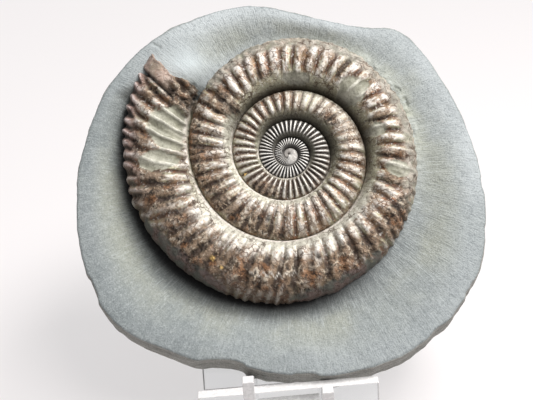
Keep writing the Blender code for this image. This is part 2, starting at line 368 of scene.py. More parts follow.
    # the flat block at the mouth, and the deep groove behind it
    grooveAngle = 145.4 + 8.0 * (1.0 - share)
    grooveGap = np.radians(degrees - grooveAngle) * radius
    block = last * smooth(grooveGap, 0.3, -0.9) * smooth(share + 0.05 * coarse, 0.36, 0.46)
    rubble = last * smooth(degrees, 156.0, 150.0) * smooth(share + 0.08 * coarse, 0.50, 0.38)
    ridge = ridge * (1.0 - block) + block * (0.62 + 0.12 * valueNoise(u * 0.5, v * 0.5, 0.0, 5))
    trench = last * 1.8 * np.exp(-(grooveGap / 0.5) ** 2) * smooth(share, 0.12, 0.4)
    windows = windows * (1.0 - rubble)

    broken = smooth(patchMask(degrees, share, u, v, roughBands, 0.9, 57), -0.05, 0.35) * (1.0 - windows)
    broken = np.maximum(broken, rubble)
    scarGap = nearLine(u, v, shell["scar"])
    scar = last * np.exp(-(scarGap / 0.8) ** 2)
    calm = 1.0 - 0.75 * last * np.exp(-(scarGap / 2.6) ** 2)

    flakes = smooth(layeredNoise(u * 0.5, v * 0.5, 0.0, seed=41, octaves=4, fall=0.62), 0.16, 0.22)
    flakes = flakes * smooth(outer, 14.0, 30.0) * smooth(share, 0.12, 0.3) * (1.0 - windows)
    # everything so far, as a push outwards in millimetres
    push = tall * (ridge - 0.6) * fade * calm * (1.0 - 0.15 * broken)
    push *= 1.0 + 0.45 * atMouth * np.exp(-((share - 0.93) / 0.05) ** 2)
    push *= 1.0 - 0.55 * skins * smooth(share, 0.8, 0.95)
    push *= 1.0 - 0.35 * last * smooth(share, 0.85, 0.97) * smooth(degrees, 200.0, 220.0)
    push += 0.5 * scar - trench
    push += last * 0.30 * lumps * smooth(way, 0.05, 0.3)
    push += broken * (0.26 * grit + 0.46 * coarse - 0.25) * np.minimum(outer / 40.0, 1.0)
    push += rubble * (0.5 * grit + 0.5 * coarse)
    push += atMouth * smooth(share, 0.45, 0.7) * (1.0 - block) * (0.22 * coarse + 0.20 * grit)
    push -= 0.30 * windows + 0.14 * flakes
    push += crust * (0.16 * grit + 0.22 * coarse + 0.10)
    push += 0.05 * grit * smooth(outer, 8.0, 30.0) * (1.0 - 0.8 * windows)
    torn = layeredNoise(u * 0.42, v * 0.42, 3.0, seed=131, octaves=4, fall=0.6)
    inFlats = smooth(share, 0.16, 0.26) * smooth(share, 0.80, 0.70) * smooth(outer, 16.0, 26.0)
    silvered = last * smooth(degrees, 365.0, 380.0)
    torn = torn + 0.10 * silvered
    inFlats = inFlats * (1.0 - windows) * (1.0 - rubble) * (1.0 - 0.75 * broken)
    margin = np.exp(-((torn - 0.04) / 0.035) ** 2) * inFlats
    flat = smooth(torn, 0.03, 0.10) * inFlats
    push += 0.12 * flat - 0.10 * margin
    seamLine = 0.60 + 0.028 * np.sin(degrees * 1.9) + 0.05 * coarse
    suture = last * np.exp(-((share - seamLine) / 0.013) ** 2)
    suture = suture * smooth(degrees, 246.0, 250.0) * smooth(degrees, 270.0, 266.0)
    push += 0.22 * suture
    pits, gold = 0.0, 0.0
    for pitU, pitV, size in shell["pits"]:
        pits = pits + np.exp(-((u - pitU) ** 2 + (v - pitV) ** 2) / size ** 2)
    for spotU, spotV, size in shell["goldSpots"]:
        gold = gold + smooth(np.hypot(u - spotU, v - spotV) + 0.3 * grit, size * 1.1, size * 0.7)
    push += 0.15 * gold - 0.8 * pits
    striae = valueNoise(count * 7.0, share * 1.5, 0.0, 29)
    push += 0.09 * striae * fade * smooth(outer, 10.0, 30.0)

    # painted shade: the creases between the small inner whorls are darkened
    seam = np.maximum(np.exp(-(way / 0.20) ** 2), np.exp(-((1.0 - way) / 0.10) ** 2))
    seam = seam * smooth(turn, 2.75, 3.3) * smooth(outer, 0.7, 1.4)
    # painted shade: the lower left of the last whorl, turned from the light, is darkened
    dim = last * np.exp(-((degrees - 245.0) / 52.0) ** 2) * smooth(share, 0.20, 0.50)

    # the umbilical lip stands up as a fine thread
    lip = np.exp(-((way - 0.11) / (0.034 + 0.02 * early)) ** 2)
    lip = lip * smooth(outer, 3.0, 6.0) * (1.0 - 0.9 * upperRight)
    lip = lip * (0.35 + 0.65 * smooth(coarse, -0.4, 0.1))
    rise = np.sin(swing)
    radius = radius + across * push + 0.10 * lip
    height = height + rise * push + 0.30 * lip * np.minimum(outer / 30.0, 1.0)

    # the broken mouth drops away under the stone in front of it
    edge = np.interp(share, mouthEdge["shares"], mouthEdge["angles"])
    edge = edge + 0.9 * layeredNoise(share * 9.0, 0.5, 0.0, seed=3, octaves=3)
    gone = last * smooth(degrees, edge, edge - 1.1)
    height = height + gone * (-5.0 - height)
    broken = np.maximum(broken, last * smooth(degrees, edge + 1.2, edge) * 0.6)

    plain = 0.55 + 0.20 * smooth(outer, 4.3, 3.1)      # tone where the ribs fade out
    looks = dict(
        rib=np.clip(ridge * fade + plain * (1.0 - fade), 0, 1),
        broken=np.clip(broken, 0, 1), window=windows, skin=skins, crust=crust, flake=flakes, block=block,
        shade=smooth(share, 0.20 + 0.28 * (1.0 - last), 0.02) * upperRight * smooth(inner, 1.0, 3.0),
        age=outer / 46.0, lip=lip * (1.0 - 0.5 * smooth(turn, 2.0, 3.0)),
        wall=1.0 - smooth(share, wallShare * 0.6, wallShare * 1.3),
        shoulder=shoulder * smooth(share, 0.5, 0.2), rim=smooth(share, 0.66, 0.92) * last,
        nearMouth=atMouth, rubbed=rubbed * smooth(share, 0.25, 0.5), striae=striae * 0.5 + 0.5,
        flat=flat * (0.6 + 0.4 * silvered), margin=margin, gold=np.clip(gold, 0, 1), suture=suture,
        seam=seam, dim=dim,
        # painted shade: the trench behind the mouth block, the pits and the low spots of the broken bands are
        # darkened
        hollow=np.clip(trench * 0.6 + pits + broken * smooth(-grit - 0.4 * coarse, 0.15, 0.6), 0, 1),
    )
    return radius * np.cos(theta), radius * np.sin(theta), shell["midPlane"] + height, looks


def zipColumns(near, far):
    # triangles between two runs of points with different counts
    faces, i, j = [], 0, 0
    while i < len(near) - 1 or j < len(far) - 1:
        stepNear = (i + 1) / (len(near) - 1) if i < len(near) - 1 else 2.0
        stepFar = (j + 1) / (len(far) - 1) if j < len(far) - 1 else 2.0
        if stepNear <= stepFar:
            corners = (near[i], near[i + 1], far[j])
            i += 1
        else:
            corners = (near[i], far[j + 1], far[j])
            j += 1
        if len(set(corners)) == 3:
            faces.append(corners)
    return faces


def buildShell(materials):
    lap = shell["columnsPerTurn"]
    count = int((shell["coreTurn"] - shell["startTurn"]) * lap) + 1
    turns = shell["startTurn"] + np.arange(count) / lap
    lapOf = np.searchsorted([start for start, rows in shell["rows"][1:]], turns + 1e-9, side="right")
    places, faces, looks = [np.array([[0.0, 0.0, shell["midPlane"] + 0.12]])], [], []
    used, columns = 1, [None] * count
    for band, (start, rows) in enumerate(shell["rows"]):
        members = np.nonzero(lapOf == band)[0]
        ways = np.arange(1, rows + 1) / rows
        turn, way = np.meshgrid(turns[members], ways, indexing="ij")
        u, v, w, look = shellSurface(turn, way)
        places.append(np.stack([u, v, w], -1).reshape(-1, 3))
        looks.append({key: np.broadcast_to(value, turn.shape).ravel() for key, value in look.items()})
        for n, k in enumerate(members):
            columns[k] = np.arange(used + n * rows, used + (n + 1) * rows)
        used += turn.size
    chains = []
    for k in range(count):
        first = columns[k + lap][-1] if k + lap < count else 0
        chains.append(np.concatenate(([first], columns[k])))
    coreStart = count - lap
    for k in range(count - 1):
        near, far = chains[k], chains[k + 1]
        if k == coreStart - 1:                       # here the first whorl opens out of the core
            faces += zipColumns(np.concatenate((chains[-1], near[1:])), far)
        elif len(near) != len(far):
            faces += zipColumns(near, far)
        elif near[0] == far[0]:
            faces.append((near[0], near[1], far[1]))
            faces += list(zip(near[1:-1], near[2:], far[2:], far[1:-1]))
        else:
            faces += list(zip(near[:-1], near[1:], far[1:], far[:-1]))
    points = np.concatenate(places)
    table = {key: np.concatenate([[0.0]] + [look[key] for look in looks]) for key in looks[0]}
    table["age"][0] = 0.03

    # the underside curves in and ends flat, bedded in the stone
    rim = np.concatenate(([chains[k][-1] for k in range(lap)], chains[0][:-1]))
    start = points[rim]
    reach = np.hypot(start[:, 0], start[:, 1])
    outward = start[:, :2] / reach[:, None]
    onVenter = np.arange(len(rim)) < lap
    below, steps, fullTurn = rim, shell["undersideSteps"], math.radians(shell["undersideTurn"])
    for step in range(1, steps + 1):
        turnIn = fullTurn * step / steps
        drop = math.sin(turnIn) / math.sin(fullTurn)
        pull = np.where(onVenter, (1.0 - math.cos(turnIn)) * shell["undersidePull"] * reach, 0.0)
        ring = start.copy()
        ring[:, :2] = start[:, :2] - outward * pull[:, None]
        ring[:, 2] = start[:, 2] + (shell["back"] - start[:, 2]) * drop
        points = np.concatenate((points, ring))
        for key in table:
            table[key] = np.concatenate((table[key], table[key][rim]))
        ids = np.arange(used, used + len(rim))
        faces += list(zip(below, ids, np.roll(ids, -1), np.roll(below, -1)))
        below, used = ids, used + len(rim)
    faces.append(tuple(below[::-1]))
    faces = [tuple(int(n) for n in face) for face in faces]
    return makeMesh("ammoniteShell", toFrame(*points.T), faces, table, materials)


def makeShellMaterial():
    material, tree, shader = newMaterial("mineralisedShell")
    rib, broken, window, skin = (attribute(tree, key) for key in ("rib", "broken", "window", "skin"))
    crust, shade = attribute(tree, "crust"), attribute(tree, "shade")
    age, lip, wall, flake = (attribute(tree, key) for key in ("age", "lip", "wall", "flake"))
    rim, hollow, nearMouth, block = (attribute(tree, key) for key in ("rim", "hollow", "nearMouth", "block"))
    coords = addNode(tree, "ShaderNodeTexCoord").outputs["Object"]
    grain = useGroup(tree, grainGroup, Size=0.55, Contrast=1.0)

    def times(a, b):
        return mathNode(tree, "MULTIPLY", a, b)

    def plus(a, b):
        return mathNode(tree, "ADD", a, b)

    def most(*values):
        total = values[0]
        for value in values[1:]:
            total = mathNode(tree, "MAXIMUM", total, value)
        return total

    patina = noiseValue(tree, coords, 230.0)
    rust = noiseValue(tree, coords, 420.0, 5.0, 0.65)
    flecks = noiseValue(tree, coords, 1400.0, 3.0)
    bend = noiseValue(tree, coords, 300.0, 3.0, 0.5, "Color")
    bentPlace = addNode(tree, "ShaderNodeVectorMath", {0: bend, 1: (0.004, 0.004, 0.004), 2: coords},
                        operation="MULTIPLY_ADD").outputs[0]
    cells = addNode(tree, "ShaderNodeTexVoronoi", {"Vector": bentPlace, "Scale": 420.0},
                    feature="DISTANCE_TO_EDGE").outputs["Distance"]
    cracks = times(ramp(tree, cells, 0.07, 0.015), ramp(tree, patina, 0.44, 0.56))
    # little curled flakes leave ring scars on the broken bands
    scars = addNode(tree, "ShaderNodeTexVoronoi", {"Vector": bentPlace, "Scale": 330.0})
    chosen = ramp(tree, scars.outputs["Color"], 0.50, 0.56)
    ringGap = mathNode(tree, "ABSOLUTE", mathNode(tree, "SUBTRACT", scars.outputs["Distance"], 0.34))
    rings = times(ramp(tree, ringGap, 0.09, 0.03), chosen)
    rings = times(times(rings, broken), ramp(tree, flecks, 0.44, 0.56))

    def paint(mask, color):
        nonlocal body
        body = mixColor(tree, mask, body, color)

    # pewter and silver ribs with rusty flanks, and painted shade darkening the grooves between them
    old = ramp(tree, age, 0.14, 0.40)                # 0 on the small whorls, 1 on the big ones
    pewter = mixColor(tree, old, (0.30, 0.29, 0.28), (0.29, 0.245, 0.195))
    body = mixColor(tree, times(ramp(tree, patina, 0.46, 0.64), old), pewter, (0.20, 0.135, 0.088))
    paint(times(ramp(tree, patina, 0.52, 0.40), old), (0.29, 0.275, 0.185))
    silver = mixColor(tree, ramp(tree, rust, 0.35, 0.6), (0.60, 0.58, 0.55), (0.50, 0.455, 0.40))
    paint(times(ramp(tree, rib, 0.66, 0.97), 0.75), silver)
    rustMask = times(times(ramp(tree, rust, 0.50, 0.60), ramp(tree, rib, 0.80, 0.45)), old)
    paint(times(rustMask, 0.85), (0.24, 0.095, 0.040))
    grooveColor = mixColor(tree, old, (0.010, 0.010, 0.011), (0.070, 0.041, 0.028))
    paint(ramp(tree, rib, 0.55, 0.12), grooveColor)
    young = mathNode(tree, "SUBTRACT", 1.0, old)
    paint(times(ramp(tree, rib, 0.72, 0.95), young), (0.68, 0.665, 0.64))
    # painted shade: the grooves of the small whorls are painted near black
    paint(times(times(ramp(tree, rib, 0.80, 0.48), young), 0.94), (0.010, 0.010, 0.010))
    wallColor = mixColor(tree, old, (0.085, 0.082, 0.080), (0.36, 0.355, 0.26))
    paint(times(wall, 0.8), wallColor)
    # painted highlight: the umbilical shoulder on the lower left of the last whorl, and on the same side of
    # the next whorl, faces the light and is painted pale silver
    paint(times(attribute(tree, "shoulder"), 0.6), (0.64, 0.615, 0.56))
    paint(times(attribute(tree, "rubbed"), 0.45), (0.36, 0.335, 0.285))
    flatTone = times(times(attribute(tree, "flat"), ramp(tree, rib, 0.35, 0.8)), 0.65)
    paint(flatTone, (0.62, 0.585, 0.55))
    paint(times(attribute(tree, "margin"), 0.8), (0.20, 0.080, 0.034))
    striae = ramp(tree, attribute(tree, "striae"), 0.45, 0.15)
    paint(times(striae, 0.35), (0.10, 0.07, 0.05))
    paint(times(flake, 0.7), (0.20, 0.125, 0.070))
    # tiny pale flecks on the big whorls, partly calcite specks and partly painted glints
    glints = times(times(ramp(tree, flecks, 0.57, 0.66), old), 0.5)
    paint(glints, (0.72, 0.70, 0.66))
    specks = times(times(ramp(tree, flecks, 0.43, 0.34), old), 0.5)
    paint(specks, (0.070, 0.046, 0.032))
    # painted shade on the lower left of the last whorl
    paint(times(attribute(tree, "dim"), 0.55), (0.085, 0.060, 0.044))
    # the broken bands, the crust and the grey skins
    bronze = mixColor(tree, ramp(tree, rib, 0.30, 0.90), (0.036, 0.022, 0.015), (0.19, 0.125, 0.078))
    bronze = mixColor(tree, times(ramp(tree, rust, 0.52, 0.62), ramp(tree, rib, 0.3, 0.7, 0.4, 1.0)), bronze,
                      (0.48, 0.410, 0.325))
    bronze = mixColor(tree, times(ramp(tree, patina, 0.54, 0.64), 0.7), bronze, (0.26, 0.118, 0.048))
    bronze = mixColor(tree, times(ramp(tree, flecks, 0.44, 0.35), 0.6), bronze, (0.030, 0.020, 0.014))
    bronze = mixColor(tree, times(rings, 0.55), bronze, (0.50, 0.38, 0.26))
    paint(times(broken, 0.85), bronze)
    crustColor = mixColor(tree, ramp(tree, rust, 0.40, 0.62), (0.165, 0.158, 0.135), (0.345, 0.325, 0.285))
    paint(times(crust, 0.85), crustColor)
    skinColor = mixColor(tree, ramp(tree, patina, 0.42, 0.60), (0.070, 0.074, 0.064), (0.13, 0.095, 0.086))
    paint(times(skin, 0.9), skinColor)
    # the rim near the mouth, then the bare calcite
    mauve = mixColor(tree, ramp(tree, rib, 0.3, 0.9), (0.035, 0.018, 0.015), (0.38, 0.250, 0.220))
    mauve = mixColor(tree, ramp(tree, rib, 0.76, 0.95), mauve, (0.66, 0.545, 0.515))
    blockTone = times(block, ramp(tree, patina, 0.40, 0.60, 0.3, 1.0))
    mauve = mixColor(tree, blockTone, mauve, (0.52, 0.400, 0.340))
    mouthShare = most(times(times(rim, nearMouth), 0.9), times(block, 0.6))
    paint(mouthShare, mauve)
    calcite = mixColor(tree, ramp(tree, patina, 0.35, 0.65), (0.200, 0.195, 0.150), (0.345, 0.335, 0.275))
    crests = times(ramp(tree, rib, 0.45, 0.85), ramp(tree, rust, 0.40, 0.58, 0.45, 1.0))
    calcite = mixColor(tree, crests, calcite, (0.50, 0.485, 0.42))
    calcite = mixColor(tree, times(ramp(tree, rib, 0.28, 0.12), 0.6), calcite, (0.13, 0.125, 0.080))
    paint(window, calcite)
    # painted highlight: the umbilical lip thread is painted pale, least on the upper right where it is turned
    # from the light
    paint(lip, (0.66, 0.60, 0.55))
    paint(times(attribute(tree, "suture"), 0.9), (0.66, 0.62, 0.56))
    paint(attribute(tree, "gold"), (0.70, 0.47, 0.17))
    # cracks and dark grain specks, then painted shade in the upper-right valleys between whorls, in the seams
    # of the small whorls and in the hollows, lie over everything else
    crackMask = times(times(cracks, old), mathNode(tree, "SUBTRACT", 1.0, window))
    paint(times(crackMask, 0.8), (0.055, 0.028, 0.016))
    paint(times(shade, 0.94), (0.030, 0.027, 0.020))
    paint(times(grain.outputs["Dark"], times(old, 0.35)), (0.040, 0.026, 0.018))
    paint(times(attribute(tree, "seam"), 0.85), (0.014, 0.013, 0.012))
    paint(hollow, (0.012, 0.008, 0.006))
    tree.links.new(body, shader.inputs["Base Color"])

    dull = most(times(broken, 0.6), skin, mouthShare, times(attribute(tree, "flat"), 0.8), window, lip, crust)
    metal = times(mathNode(tree, "SUBTRACT", 1.0, dull), 0.45)
    tree.links.new(metal, shader.inputs["Metallic"])
    rough = plus(times(most(broken, crust), 0.16), ramp(tree, flecks, 0.35, 0.65, 0.46, 0.66))
    tree.links.new(rough, shader.inputs["Roughness"])
    fine = plus(plus(times(flecks, 0.6), times(rust, 0.8)), times(rings, 0.25))
    height = times(fine, plus(0.40, times(broken, 0.8)))
    shader.inputs["Specular IOR Level"].default_value = 0.4
    bump = addNode(tree, "ShaderNodeBump", {"Height": height, "Strength": 0.8, "Distance": 0.0009})
    tree.links.new(bump.outputs[0], shader.inputs["Normal"])
    return material


ammonite = buildShell([makeShellMaterial()])
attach(ammonite, "root")
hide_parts("ammonite_shell")
print("shell:", len(ammonite.data.vertices), "points,", len(ammonite.data.polygons), "faces")


slab = dict(
    radii=[49.9, 47.2, 46.4, 40.2, 39.7, 43.9, 46.9, 51.2, 54.6,
           58.0, 62.8, 66.6, 62.6, 61.3, 62.9, 63.6, 61.4, 55.2],    # every 20 degrees from +u
    dents=[(250.0, -1.4, 7.0), (242.0, 0.6, 5.0), (45.0, 0.7, 6.0), (52.0, -0.5, 4.0)],
    depth=24.0, moat=4.3, moatTilt=2.9, deepSide=215.0,
    coilMeets=138.0, tuckUnder=1.3, mouthAngles=(133.0, 146.0, 157.0), mouthRadius=29.5,
    cracks=[((31.3, 15.7), (32.6, 14.4)), ((33.5, 12.2), (34.4, 10.0)), ((-35.4, 34.4), (-33.4, 32.6))],
    columns=720, faceRows=60, wallRows=30, backRows=8, edge=0.7,
    # middle and half sizes in u and v: the pale ramp at the mouth, its crumbs, and their tones
    mouthRamp=(-27.0, 25.0, 8.0, 6.5), crumbs=(-25.0, 20.5, 4.0, 2.2),
    chalky=(-28.5, 27.0, 7.0, 6.0), moss=(-25.0, 20.0, 4.5, 2.4),
    # paleLobes gives the angle and amount of the painted light on the face
    paleLobes=[(88.0, 1.0), (26.0, 0.95), (305.0, 0.35)],      # angle and amount
)


def slabRadius(degrees):
    radius = splineValue(slab["radii"], (degrees % 360.0) / 20.0, closed=True)
    for angle, amount, spread in slab["dents"]:
        gap = (degrees - angle + 180.0) % 360.0 - 180.0
        radius = radius + amount * np.exp(-(gap / spread) ** 2)
    return radius


def hollowRadius(degrees):
    # where the stone meets the shell, tucked just under it
    turn = np.where(degrees < slab["coilMeets"], degrees + 180.0, degrees - 180.0) / 360.0
    venter = whorlRadius(turn) - slab["tuckUnder"]
    mouthFrom, tuckFrom, mouthTo = slab["mouthAngles"]
    atMouth = slab["mouthRadius"] + smooth(degrees, tuckFrom, mouthTo) * (venter - slab["mouthRadius"])
    return np.where((degrees > mouthFrom) & (degrees < mouthTo), atMouth, venter)


def spot(u, v, place):
    midU, midV, sizeU, sizeV = place
    return np.exp(-(((u - midU) / sizeU) ** 2 + ((v - midV) / sizeV) ** 2))


def stoneFace(u, v, share, degrees):
    depth = slab["moat"] + slab["moatTilt"] * np.cos(np.radians(degrees - slab["deepSide"]))
    height = -depth * (1.0 - smooth(share * 1.05)) ** 1.35
    height = height + spot(u, v, slab["mouthRamp"]) * (1.2 - height) * 0.85
    swells = layeredNoise(u * 0.07, v * 0.07, 0.0, seed=5, octaves=3)
    height = height + 0.30 * swells * smooth(share, 0.0, 0.2)
    height = height + 0.10 * layeredNoise(u * 0.45, v * 0.45, 0.0, seed=8, octaves=3)
    height = height + 0.035 * layeredNoise(u * 1.7, v * 1.7, 0.0, seed=9, octaves=2)
    for ends in slab["cracks"]:
        gapToCrack = nearLine(u + 0.5 * valueNoise(u, v, 0.0, 4), v, ends)
        height = height - 0.35 * np.exp(-(gapToCrack / 0.30) ** 2)
    besideShell = smooth(share, 0.22, 0.03) * smooth(np.cos(np.radians(degrees - 18.0)), 0.75, 0.95)
    height = height + besideShell * (0.5 * layeredNoise(u * 0.9, v * 0.9, 0.0, seed=45, octaves=3) + 0.2)
    crumbs = 0.9 + 0.9 * layeredNoise(u * 0.8, v * 0.8, 0.0, seed=46, octaves=3)
    height = height + spot(u, v, slab["crumbs"]) * crumbs
    # scraper marks run outwards from the shell
    marks = valueNoise(np.radians(degrees) * 34.0, share * 3.0, 0.0, 15)
    return height + 0.09 * marks * smooth(share, 0.75, 0.1)


def buildSlab(materials):
    degrees = np.arange(slab["columns"]) * 360.0 / slab["columns"]
    outline = slabRadius(degrees)
    inner = hollowRadius(degrees)
    theta = np.radians(degrees)
    low = smooth(-np.sin(theta), -0.2, 0.9)              # 1 along the bottom
    rings = []

    def ring(radius, height, side, share):
        rings.append((radius * np.cos(theta), radius * np.sin(theta),
                      *(np.broadcast_to(value, theta.shape) for value in (height, side, share))))

    def aroundNoise(cells, height, **settings):
        return layeredNoise(np.cos(theta) * cells, np.sin(theta) * cells, height, **settings)

    chip = smooth(aroundNoise(8.0, 0.0, seed=71), 0.10, 0.5)
    rough = aroundNoise(26.0, 0.0, seed=77)
    front = outline - 0.7 * chip * (0.25 + 0.75 * low) + 0.16 * rough
    ring(inner - 0.2, shell["back"] - 0.3, 0.0, 0.0)
    for k in range(slab["faceRows"] + 1):
        share = (k / slab["faceRows"]) ** 0.9
        radius = inner + share * (front - slab["edge"] - inner)
        u, v = radius * np.cos(theta), radius * np.sin(theta)
        ring(radius, stoneFace(u, v, share, degrees), 0.0, share)
    edgeHeight = rings[-1][2]
    ring(front - 0.25 * slab["edge"], edgeHeight - 0.12 * slab["edge"], 0.25, 1.0)
    for k in range(slab["wallRows"] + 1):
        share = k / slab["wallRows"]
        wallDepth = slab["depth"] - 1.6 - 0.5 * slab["edge"] + edgeHeight
        height = edgeHeight - 0.5 * slab["edge"] - share * wallDepth
        beds = aroundNoise(5.0, height * 1.1, seed=91, octaves=4, fall=0.6)
        broad = aroundNoise(9.0, height * 0.25, seed=97)
        swell = (0.35 + 1.1 * low) * np.sin(math.pi * min(share * 1.25, 1.0) * 0.62)
        swell = swell - 0.5 * share * (1.0 - low)
        ring(front + swell + 0.55 * beds + 0.5 * broad * smooth(share, 0.0, 0.3), height, 1.0, 1.0)
    last = rings[-1]
    lastRadius = np.hypot(last[0], last[1])
    ring(lastRadius - 1.2, -slab["depth"] + 0.35, 0.8, 1.0)
    for k in range(slab["backRows"]):
        share = 1.0 - k / slab["backRows"]
        radius = (lastRadius - 2.2) * share
        u, v = radius * np.cos(theta), radius * np.sin(theta)
        waves = layeredNoise(u * 0.5, v * 0.08, 0.0, seed=33, octaves=2)
        ring(radius, -slab["depth"] + 0.05 * waves, 0.4, 1.0)
    size = slab["columns"]
    points = np.concatenate([np.stack(one[:3], -1) for one in rings])
    ids = np.arange(len(points)).reshape(len(rings), size)
    faces = []
    for lower, upper in zip(ids[:-1], ids[1:]):
        faces += list(zip(lower, upper, np.roll(upper, -1), np.roll(lower, -1)))
    faces.append(tuple(ids[0]))
    faces.append(tuple(ids[-1][::-1]))
    faces = [tuple(int(n) for n in face) for face in faces]
    side = np.concatenate([one[3] for one in rings])
    share = np.concatenate([one[4] for one in rings])
    u, v, w = points.T
    reach, around = np.hypot(u, v), np.arctan2(v, u)
    # painted shadow: the shell's shadow in the moat on its lower left
    lowerLeft = smooth(np.cos(around - math.radians(218.0)), -0.25, 0.75)
    deep = smooth(share, 0.44, 0.06) ** 1.3 * lowerLeft * smooth(side, 0.1, 0.0)
    # painted light: the face is lighter towards the top and the upper right, and a little on the lower right
    facing = 0.0
    for angle, amount in slab["paleLobes"]:
        lobe = smooth(np.cos(around - math.radians(angle)), 0.1, 0.95)
        facing = np.maximum(facing, amount * lobe)
    onFace = smooth(side, 0.1, 0.0)
    chalky = spot(u, v, slab["chalky"]) * onFace
    moss = spot(u, v, slab["moss"]) * onFace
    halo = onFace * smooth(share, 0.42, 0.04) * smooth(np.cos(around - 0.60), 0.35, 0.95)
    for ends in slab["cracks"]:
        moss = np.maximum(moss, 0.6 * onFace * np.exp(-(nearLine(u, v, ends) / 0.5) ** 2))
    pale = facing * (0.70 + 0.30 * smooth(share, 0.2, 0.9)) * onFace
    marks = np.stack([u / reach * 2.0, v / reach * 2.0, reach * 0.005], -1)
    looks = dict(side=side, share=share, deep=deep, pale=pale, marks=marks,
                 chalky=chalky, moss=moss, halo=halo)
    return makeMesh("shaleSlab", toFrame(*points.T), faces, looks, materials)


def makeShaleMaterial():
    material, tree, shader = newMaterial("blueGreyShale")
    coords = addNode(tree, "ShaderNodeTexCoord").outputs["Object"]
    side, share, chalky = (attribute(tree, key) for key in ("side", "share", "chalky"))
    marksPlace = addNode(tree, "ShaderNodeAttribute", attribute_name="marks").outputs["Vector"]
    grain = useGroup(tree, grainGroup, Size=0.42, Contrast=1.0)
    lightGrain, darkGrain = grain.outputs["Light"], grain.outputs["Dark"]

    def times(a, b):
        return mathNode(tree, "MULTIPLY", a, b)

    def paint(mask, color):
        nonlocal base
        base = mixColor(tree, mask, base, color)

    clouds = noiseValue(tree, coords, 38.0)
    blotches = noiseValue(tree, coords, 120.0, 5.0)
    marks = noiseValue(tree, marksPlace, 60.0, 3.0)
    base = mixColor(tree, ramp(tree, clouds, 0.35, 0.68), (0.162, 0.180, 0.184), (0.210, 0.229, 0.234))
    paint(times(ramp(tree, blotches, 0.48, 0.66), 0.5), (0.235, 0.255, 0.252))
    ringTint = times(ramp(tree, share, 0.0, 0.35), ramp(tree, share, 0.9, 0.4))
    ringTint = times(ringTint, ramp(tree, clouds, 0.40, 0.60, 0.15, 0.65))
    halo = times(attribute(tree, "halo"), ramp(tree, blotches, 0.35, 0.65, 0.45, 0.95))
    # painted shade: a darker band on the stone right beside the shell, weaker where the olive halo lies
    nearShell = times(ramp(tree, share, 0.16, 0.0), ramp(tree, halo, 0.0, 0.6, 0.55, 0.0))
    paint(nearShell, (0.125, 0.135, 0.130))
    # painted light: the face is painted paler where the light falls most
    pale = times(attribute(tree, "pale"), ramp(tree, clouds, 0.38, 0.62, 0.58, 0.84))
    paint(pale, (0.400, 0.425, 0.437))
    paint(ringTint, (0.245, 0.250, 0.200))
    paint(times(lightGrain, 0.38), (0.37, 0.395, 0.395))
    paint(times(darkGrain, 0.38), (0.090, 0.105, 0.110))
    paint(times(chalky, 0.8), (0.40, 0.435, 0.45))
    paint(times(halo, 0.8), (0.345, 0.350, 0.270))
    moss = times(attribute(tree, "moss"), ramp(tree, blotches, 0.62, 0.38, 0.25, 1.0))
    paint(moss, (0.070, 0.078, 0.056))
    scraped = times(ramp(tree, share, 0.55, 0.15, 0.6, 1.5), ramp(tree, chalky, 0.2, 0.7, 1.0, 0.1))
    streaks = times(ramp(tree, marks, 0.54, 0.66), scraped)
    paint(times(streaks, 0.36), (0.37, 0.395, 0.395))
    scratches = times(ramp(tree, marks, 0.46, 0.34), scraped)
    paint(times(scratches, 0.22), (0.095, 0.110, 0.115))
    # bedding on the side wall, saw lines on the back
    bedPlace = addNode(tree, "ShaderNodeMapping",
                       {"Vector": coords, "Rotation": (leanTurn, 0.0, 0.0), "Scale": (7.0, 7.0, 0.55)},
                       vector_type="TEXTURE").outputs[0]
    layers = noiseValue(tree, bedPlace, 700.0, 5.0, 0.7)
    sawPlace = addNode(tree, "ShaderNodeMapping", {"Vector": coords, "Scale": (14.0, 0.5, 0.5)},
                       vector_type="TEXTURE").outputs[0]
    sawLines = noiseValue(tree, sawPlace, 700.0, 2.0, 0.5)
    wall = mixColor(tree, ramp(tree, layers, 0.34, 0.66), (0.180, 0.178, 0.165), (0.33, 0.325, 0.30))
    wall = mixColor(tree, times(darkGrain, 0.5), wall, (0.085, 0.083, 0.075))
    wall = mixColor(tree, times(lightGrain, 0.4), wall, (0.42, 0.415, 0.39))
    onBack = times(ramp(tree, side, 0.30, 0.38), ramp(tree, side, 0.60, 0.45))
    sawTone = times(onBack, ramp(tree, sawLines, 0.44, 0.64, 0.0, 0.4))
    paint(sawTone, (0.27, 0.278, 0.27))
    paint(ramp(tree, side, 0.45, 0.95), wall)
    # painted shadow: the moat on the lower left of the shell is painted near black
    paint(times(attribute(tree, "deep"), 0.97), (0.010, 0.009, 0.009))
    tree.links.new(base, shader.inputs["Base Color"])
    tree.links.new(ramp(tree, blotches, 0.3, 0.7, 0.78, 0.95), shader.inputs["Roughness"])
    shader.inputs["Specular IOR Level"].default_value = 0.3
    relief = times(layers, ramp(tree, side, 0.45, 0.95, 0.0, 2.0))
    relief = mathNode(tree, "ADD", relief, times(sawLines, times(onBack, 0.35)))
    height = mathNode(tree, "ADD", grain.outputs["Height"], times(marks, 0.8))
    height = mathNode(tree, "ADD", height, relief)
    bump = addNode(tree, "ShaderNodeBump", {"Height": height, "Strength": 0.45, "Distance": 0.0006})
    tree.links.new(bump.outputs[0], shader.inputs["Normal"])
    return material


stone = buildSlab([makeShaleMaterial()])
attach(stone, "root")
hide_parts("shale_slab")
print("slab:", len(stone.data.vertices), "points,", len(stone.data.polygons), "faces")


stand = dict(edgeRound=0.25, edgeSegments=2, edgeAngle=35.0, weldGap=0.02, tint=(0.97, 0.985, 0.99))


